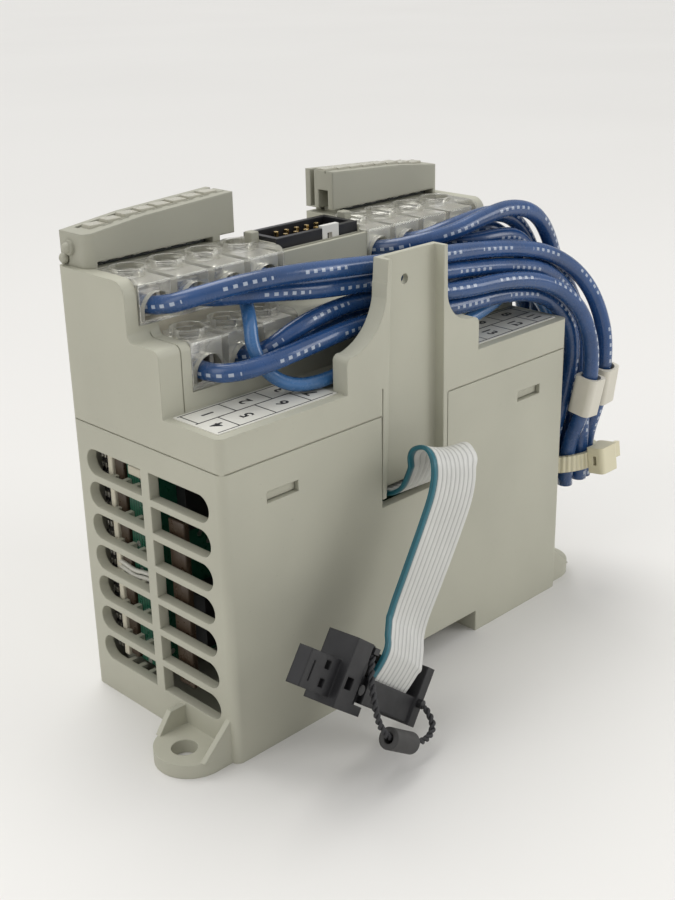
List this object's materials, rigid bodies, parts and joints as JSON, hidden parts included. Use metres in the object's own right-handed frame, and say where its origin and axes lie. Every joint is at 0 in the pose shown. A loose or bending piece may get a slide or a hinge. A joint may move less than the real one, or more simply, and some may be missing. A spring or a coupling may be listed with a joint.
{
  "type": "programmable controller input module",
  "caption": "Rail-mounted box module with stepped front, screw terminals under clear guards, indicator bars, a tied wire bundle and a flat bus cable with a plug.",
  "frame": {"origin": "centre of the base, where the rail side rests; the middle of the overall box without the cords", "axes": "+X along the long side towards the end the wires hang over, -Y towards the side with the flat cable, +Z out of the wiring side"},
  "size_m": [0.1181, 0.0638, 0.0888],
  "materials": {
    "housing_plastic": "fine-grained warm light grey moulding",
    "cover_plastic": "fine-grained warm light grey moulding",
    "bar_plastic": "fine-grained warm grey moulding, slightly darker than the housing",
    "latch_plastic": "plain grey moulding",
    "indicator_lens": "milky light-pipe plastic",
    "clear_guard": "clear moulded polycarbonate",
    "insulator": "cream insulating plastic",
    "clamp_metal": "nickel-plated box clamp",
    "screw_steel": "zinc-plated cross-slot screw",
    "board": "green solder mask",
    "board_parts": "dark component packages",
    "header_plastic": "black moulded shroud",
    "pin_gold": "gold-plated square pin",
    "key_plastic": "white polarising clip",
    "label_film": "white film with black cell lines",
    "wire_jacket": "blue insulation",
    "wire_jacket_light": "lighter blue insulation",
    "marker_sleeve": "cream slip-on marker",
    "tie_nylon": "cream nylon",
    "ribbon_jacket": "white ridged flat cable with a teal first conductor",
    "plug_plastic": "black moulded plug",
    "cord_textile": "black twisted cord",
    "sleeve_rubber": "dark shrunk sleeve"
  },
  "bodies": {
    "module": {"rear_housing": "housing_plastic", "front_cover": "cover_plastic", "display_bar_left": "bar_plastic", "display_bar_right": "bar_plastic", "indicators_left": "indicator_lens", "indicators_right": "indicator_lens", "guard_upper_left": "clear_guard", "guard_upper_right": "clear_guard", "guard_lower_left": "clear_guard", "guard_lower_right": "clear_guard", "terminal_block_left": "insulator", "terminal_block_right": "insulator", "clamps_left": "clamp_metal", "clamps_right": "clamp_metal", "main_board": "board", "relay_board": "board", "terminal_board": "board", "main_board_parts": "board_parts", "relay_board_parts": "board_parts", "header_shell": "header_plastic", "header_pins": "pin_gold", "header_key": "key_plastic", "label_left": "label_film", "label_right": "label_film", "wire_marker_1": "marker_sleeve", "wire_marker_2": "marker_sleeve", "cable_tie_band": "tie_nylon", "cable_tie_head": "tie_nylon", "bus_cable": "ribbon_jacket", "plug_body": "plug_plastic", "plug_back": "plug_plastic", "plug_posts": "plug_plastic", "pull_cord": "cord_textile", "pull_sleeve": "sleeve_rubber", "wire_upper_1": "wire_jacket", "wire_upper_2": "wire_jacket", "wire_upper_3": "wire_jacket_light", "wire_upper_4": "wire_jacket", "wire_lower_1": "wire_jacket", "wire_lower_2": "wire_jacket", "wire_lower_3": "wire_jacket", "wire_right_1": "wire_jacket", "wire_right_2": "wire_jacket", "wire_right_3": "wire_jacket", "wire_right_4": "wire_jacket"},
    "latch": {"rail_latch": "latch_plastic"},
    "screw_upper_left_1": {"screw_upper_left_1": "screw_steel"},
    "screw_upper_left_2": {"screw_upper_left_2": "screw_steel"},
    "screw_upper_left_3": {"screw_upper_left_3": "screw_steel"},
    "screw_upper_left_4": {"screw_upper_left_4": "screw_steel"},
    "screw_upper_right_1": {"screw_upper_right_1": "screw_steel"},
    "screw_upper_right_2": {"screw_upper_right_2": "screw_steel"},
    "screw_upper_right_3": {"screw_upper_right_3": "screw_steel"},
    "screw_upper_right_4": {"screw_upper_right_4": "screw_steel"},
    "screw_lower_left_1": {"screw_lower_left_1": "screw_steel"},
    "screw_lower_left_2": {"screw_lower_left_2": "screw_steel"},
    "screw_lower_left_3": {"screw_lower_left_3": "screw_steel"},
    "screw_lower_right_1": {"screw_lower_right_1": "screw_steel"},
    "screw_lower_right_2": {"screw_lower_right_2": "screw_steel"},
    "screw_lower_right_3": {"screw_lower_right_3": "screw_steel"}
  },
  "joints": [
    {"name": "latch_slide", "type": "slide", "parent": "module", "child": "latch", "axis": [1, 0, 0], "range_m": [0, 0.004], "stiffness_N_per_m": 800, "springref_m": -0.002},
    {"name": "screw_upper_left_1_turn", "type": "hinge", "parent": "module", "child": "screw_upper_left_1", "pos_m": [-0.0144, 0.0092, 0.078], "axis": [0, 0, 1], "range_deg": [0, 900]},
    {"name": "screw_upper_left_2_turn", "type": "hinge", "parent": "module", "child": "screw_upper_left_2", "pos_m": [-0.0224, 0.0092, 0.078], "axis": [0, 0, 1], "range_deg": [0, 900]},
    {"name": "screw_upper_left_3_turn", "type": "hinge", "parent": "module", "child": "screw_upper_left_3", "pos_m": [-0.0304, 0.0092, 0.078], "axis": [0, 0, 1], "range_deg": [0, 900]},
    {"name": "screw_upper_left_4_turn", "type": "hinge", "parent": "module", "child": "screw_upper_left_4", "pos_m": [-0.0384, 0.0092, 0.078], "axis": [0, 0, 1], "range_deg": [0, 900]},
    {"name": "screw_upper_right_1_turn", "type": "hinge", "parent": "module", "child": "screw_upper_right_1", "pos_m": [0.0144, 0.0092, 0.078], "axis": [0, 0, 1], "range_deg": [0, 900]},
    {"name": "screw_upper_right_2_turn", "type": "hinge", "parent": "module", "child": "screw_upper_right_2", "pos_m": [0.0224, 0.0092, 0.078], "axis": [0, 0, 1], "range_deg": [0, 900]},
    {"name": "screw_upper_right_3_turn", "type": "hinge", "parent": "module", "child": "screw_upper_right_3", "pos_m": [0.0304, 0.0092, 0.078], "axis": [0, 0, 1], "range_deg": [0, 900]},
    {"name": "screw_upper_right_4_turn", "type": "hinge", "parent": "module", "child": "screw_upper_right_4", "pos_m": [0.0384, 0.0092, 0.078], "axis": [0, 0, 1], "range_deg": [0, 900]},
    {"name": "screw_lower_left_1_turn", "type": "hinge", "parent": "module", "child": "screw_lower_left_1", "pos_m": [-0.0184, -0.0009, 0.068], "axis": [0, 0, 1], "range_deg": [0, 900]},
    {"name": "screw_lower_left_2_turn", "type": "hinge", "parent": "module", "child": "screw_lower_left_2", "pos_m": [-0.0264, -0.0009, 0.068], "axis": [0, 0, 1], "range_deg": [0, 900]},
    {"name": "screw_lower_left_3_turn", "type": "hinge", "parent": "module", "child": "screw_lower_left_3", "pos_m": [-0.0344, -0.0009, 0.068], "axis": [0, 0, 1], "range_deg": [0, 900]},
    {"name": "screw_lower_right_1_turn", "type": "hinge", "parent": "module", "child": "screw_lower_right_1", "pos_m": [0.0184, -0.0009, 0.068], "axis": [0, 0, 1], "range_deg": [0, 900]},
    {"name": "screw_lower_right_2_turn", "type": "hinge", "parent": "module", "child": "screw_lower_right_2", "pos_m": [0.0264, -0.0009, 0.068], "axis": [0, 0, 1], "range_deg": [0, 900]},
    {"name": "screw_lower_right_3_turn", "type": "hinge", "parent": "module", "child": "screw_lower_right_3", "pos_m": [0.0344, -0.0009, 0.068], "axis": [0, 0, 1], "range_deg": [0, 900]}
  ]
}
